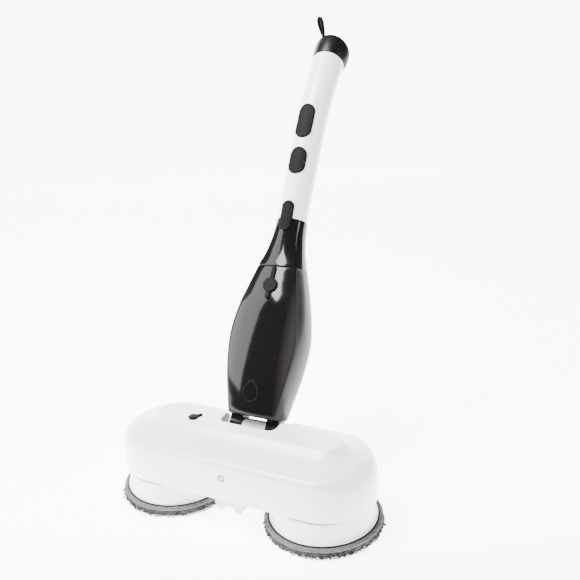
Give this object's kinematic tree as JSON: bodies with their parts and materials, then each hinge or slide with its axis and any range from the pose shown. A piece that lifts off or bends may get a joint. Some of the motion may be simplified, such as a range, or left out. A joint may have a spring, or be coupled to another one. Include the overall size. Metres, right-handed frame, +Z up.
{
  "type": "cordless spin floor scrubber",
  "caption": "Cordless wet and dry floor scrubber with spinning mop pads, a tilting smoked water tank body, lift-off handle tube and rubber controls.",
  "frame": {"origin": "on the floor, at the middle of the whole part's footprint with the handle leaning back 29 degrees", "axes": "+Z up; the head's front and spray nozzle face -Y and the handle leans towards +Y; +X is to the right as seen when standing in front of it and facing +Y"},
  "size_m": [0.376, 0.425, 0.619],
  "materials": {
    "white_shell": "gloss white moulded plastic",
    "smoked_shell": "smoked translucent gloss plastic",
    "black_plastic": "black satin plastic",
    "black_rubber": "soft black rubber",
    "grey_plastic": "pale grey moulded plastic",
    "hook_tape": "black hook tape disc",
    "pad_cloth": "looped grey microfibre",
    "steel": "bright steel",
    "board": "green circuit board",
    "cell_wrap": "blue cell wrap"
  },
  "bodies": {
    "head": {"head_housing": "white_shell", "base_plate": "grey_plastic", "spray_nozzle": "grey_plastic", "battery_pack": "cell_wrap", "control_board": "board", "board_bracket": "grey_plastic", "spray_pump": "grey_plastic", "spray_hose": "black_rubber", "charge_socket": "black_plastic", "hinge_pin": "steel", "hinge_block": "white_shell", "left_hinge_cheek": "white_shell", "right_hinge_cheek": "white_shell", "left_bearing": "steel", "right_bearing": "steel", "left_motor": "steel", "right_motor": "steel", "left_motor_bracket": "grey_plastic", "right_motor_bracket": "grey_plastic"},
    "left_disc": {"left_axle": "steel", "left_drum": "white_shell", "left_gear": "grey_plastic", "left_hook_disc": "hook_tape", "left_pad": "pad_cloth"},
    "right_disc": {"right_axle": "steel", "right_drum": "white_shell", "right_gear": "grey_plastic", "right_hook_disc": "hook_tape", "right_pad": "pad_cloth"},
    "left_pinion": {"left_pinion": "steel"},
    "right_pinion": {"right_pinion": "steel"},
    "lower_body": {"water_tank": "smoked_shell", "rear_shell": "smoked_shell", "neck_collar": "smoked_shell", "left_knuckle": "black_plastic", "right_knuckle": "black_plastic", "tank_valve": "black_rubber"},
    "handle": {"handle_tube": "white_shell", "end_cap": "black_plastic", "hanging_loop": "black_rubber", "switch_board": "board"},
    "power_button": {"power_button": "black_rubber"},
    "spray_button": {"spray_button": "black_rubber"},
    "release_latch": {"release_latch": "black_rubber"},
    "filler_plug": {"filler_plug": "black_rubber"},
    "charge_cover": {"charge_cover": "black_rubber"}
  },
  "joints": [
    {"name": "handle_tilt", "type": "hinge", "parent": "head", "child": "lower_body", "pos_m": [0, -0.10149, 0.097], "axis": [-1, 0, 0], "range_deg": [-16, 46]},
    {"name": "left_disc_spin", "type": "hinge", "parent": "head", "child": "left_disc", "pos_m": [-0.111, -0.13549, 0.03], "axis": [0, 0, 1], "continuous": true},
    {"name": "right_disc_spin", "type": "hinge", "parent": "head", "child": "right_disc", "pos_m": [0.111, -0.13549, 0.03], "axis": [0, 0, 1], "continuous": true},
    {"name": "left_pinion_spin", "type": "hinge", "parent": "head", "child": "left_pinion", "pos_m": [-0.0828, -0.13549, 0.0635], "axis": [0, 0, 1], "continuous": true},
    {"name": "right_pinion_spin", "type": "hinge", "parent": "head", "child": "right_pinion", "pos_m": [0.0828, -0.13549, 0.0635], "axis": [0, 0, 1], "continuous": true},
    {"name": "handle_pull", "type": "slide", "parent": "lower_body", "child": "handle", "axis": [0, 0.4848, 0.8746], "range_m": [0, 0.05]},
    {"name": "power_button_press", "type": "slide", "parent": "handle", "child": "power_button", "axis": [0, 0.8269, -0.5624], "range_m": [0, 0.0012], "stiffness_N_per_m": 400, "springref_m": -0.001},
    {"name": "spray_button_press", "type": "slide", "parent": "handle", "child": "spray_button", "axis": [0, 0.8556, -0.5177], "range_m": [0, 0.0012], "stiffness_N_per_m": 400, "springref_m": -0.001},
    {"name": "latch_press", "type": "slide", "parent": "handle", "child": "release_latch", "axis": [0, 0.8746, -0.4848], "range_m": [0, 0.002], "stiffness_N_per_m": 400, "springref_m": -0.001},
    {"name": "filler_plug_lift", "type": "hinge", "parent": "lower_body", "child": "filler_plug", "pos_m": [0, -0.02141, 0.30147], "axis": [-1, 0, 0], "range_deg": [0, 100]},
    {"name": "charge_cover_lift", "type": "hinge", "parent": "head", "child": "charge_cover", "pos_m": [-0.06956, -0.12607, 0.11535], "axis": [-0.8137, 0.5812, 0], "range_deg": [0, 100]}
  ],
  "couplings": [
    {"joint": "left_pinion_spin", "follows": "left_disc_spin", "ratio": -3},
    {"joint": "right_pinion_spin", "follows": "right_disc_spin", "ratio": -3}
  ]
}
